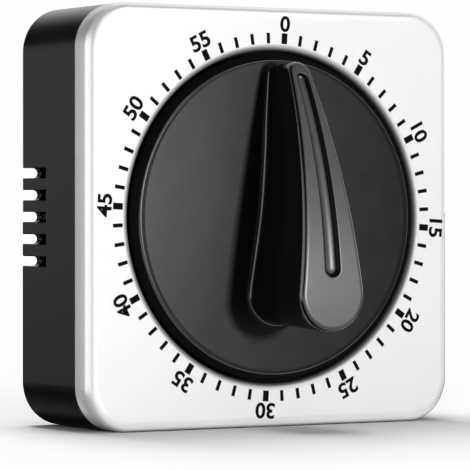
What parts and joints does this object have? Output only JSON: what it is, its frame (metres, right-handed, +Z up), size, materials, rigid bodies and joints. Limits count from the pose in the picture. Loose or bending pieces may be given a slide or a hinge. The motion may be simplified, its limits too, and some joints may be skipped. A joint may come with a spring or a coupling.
{
  "type": "kitchen timer",
  "caption": "Square mechanical kitchen timer with a steel front, a turning dial with a grip fin, slotted black casing, and a spring-driven gear train with a bell.",
  "frame": {"origin": "middle of the flat underside that the timer stands on, halfway between the steel face and the back", "axes": "+Z up; the dial faces -Y; +X towards the viewer's right when facing the dial"},
  "size_m": [0.08, 0.0488, 0.08],
  "materials": {
    "cover_steel": "fine brushed",
    "casing_black": "satin moulded",
    "inner_black": "moulded",
    "dial_black": "polished",
    "steel": "turned",
    "brass": "satin",
    "spring_steel": "blued",
    "magnet": "matt sintered",
    "bell_steel": "plated"
  },
  "bodies": {
    "case": {"front_cover": "cover_steel", "rear_casing": "casing_black", "dial_carrier": "inner_black", "casing_screws": "steel", "rear_magnets": "magnet", "front_plate": "brass", "back_plate": "brass", "pillar_upper_left": "steel", "pillar_upper_right": "steel", "pillar_lower_left": "steel", "pillar_lower_right": "steel", "pillar_nuts": "steel", "movement_screws": "steel", "front_bush": "brass", "stop_pin": "steel", "mainspring": "spring_steel", "spring_post": "steel", "hairspring": "spring_steel", "hairspring_stud": "steel", "hammer_spring": "spring_steel", "bell_post": "steel", "bell": "bell_steel", "bell_nut": "steel"},
    "dial": {"dial_knob": "dial_black", "knob_clip": "spring_steel", "main_arbor": "steel", "stop_arm": "steel", "ratchet_wheel": "steel", "thrust_washer": "brass", "strike_cam": "steel"},
    "great": {"great_wheel": "brass", "click_rivet": "steel", "click_spring": "spring_steel"},
    "click": {"click": "steel"},
    "second": {"second_arbor": "steel", "second_wheel": "brass"},
    "third": {"third_arbor": "steel", "third_wheel": "brass"},
    "escape": {"escape_arbor": "steel", "escape_wheel": "brass"},
    "pallet": {"pallet_arbor": "steel", "pallet_lever": "brass", "pallet_pins": "steel"},
    "balance": {"balance_staff": "steel", "balance_wheel": "brass", "impulse_pin": "steel"},
    "hammer": {"hammer_arbor": "steel", "strike_lever": "steel", "hammer_arm": "steel", "hammer_head": "brass"}
  },
  "joints": [
    {"name": "dial_turn", "type": "hinge", "parent": "case", "child": "dial", "pos_m": [0, 0, 0.04], "axis": [0, 1, 0], "range_deg": [0, 354], "stiffness_Nm_per_rad": 0.004, "springref_deg": -114.59},
    {"name": "great_wheel_turn", "type": "hinge", "parent": "case", "child": "great", "pos_m": [0, 0, 0.04], "axis": [0, 1, 0], "range_deg": [0, 354]},
    {"name": "second_wheel_turn", "type": "hinge", "parent": "case", "child": "second", "pos_m": [0.0172, 0, 0.02795], "axis": [0, 1, 0], "range_deg": [-2124, 0]},
    {"name": "third_wheel_turn", "type": "hinge", "parent": "case", "child": "third", "pos_m": [0.00551, 0, 0.02025], "axis": [0, 1, 0], "range_deg": [0, 12744]},
    {"name": "escape_wheel_turn", "type": "hinge", "parent": "case", "child": "escape", "pos_m": [-0.00625, 0, 0.01683], "axis": [0, 1, 0], "range_deg": [-76464, 0]},
    {"name": "click_lift", "type": "hinge", "parent": "great", "child": "click", "pos_m": [0, 0, 0.0502], "axis": [0, 1, 0], "range_deg": [-12, 0], "stiffness_Nm_per_rad": 0.0001, "springref_deg": 11.46},
    {"name": "pallet_rock", "type": "hinge", "parent": "case", "child": "pallet", "pos_m": [-0.01417, 0, 0.01895], "axis": [0, 1, 0], "range_deg": [-3, 3]},
    {"name": "balance_swing", "type": "hinge", "parent": "case", "child": "balance", "pos_m": [-0.0224, 0, 0.0237], "axis": [0, 1, 0], "range_deg": [-110, 110], "stiffness_Nm_per_rad": 0.000001},
    {"name": "hammer_swing", "type": "hinge", "parent": "case", "child": "hammer", "pos_m": [-0.02, 0, 0.06], "axis": [0, 1, 0], "range_deg": [-5, 3], "stiffness_Nm_per_rad": 0.01}
  ],
  "couplings": [
    {"joint": "great_wheel_turn", "follows": "dial_turn", "ratio": 1},
    {"joint": "second_wheel_turn", "follows": "dial_turn", "ratio": -6},
    {"joint": "third_wheel_turn", "follows": "dial_turn", "ratio": 36},
    {"joint": "escape_wheel_turn", "follows": "dial_turn", "ratio": -216}
  ]
}
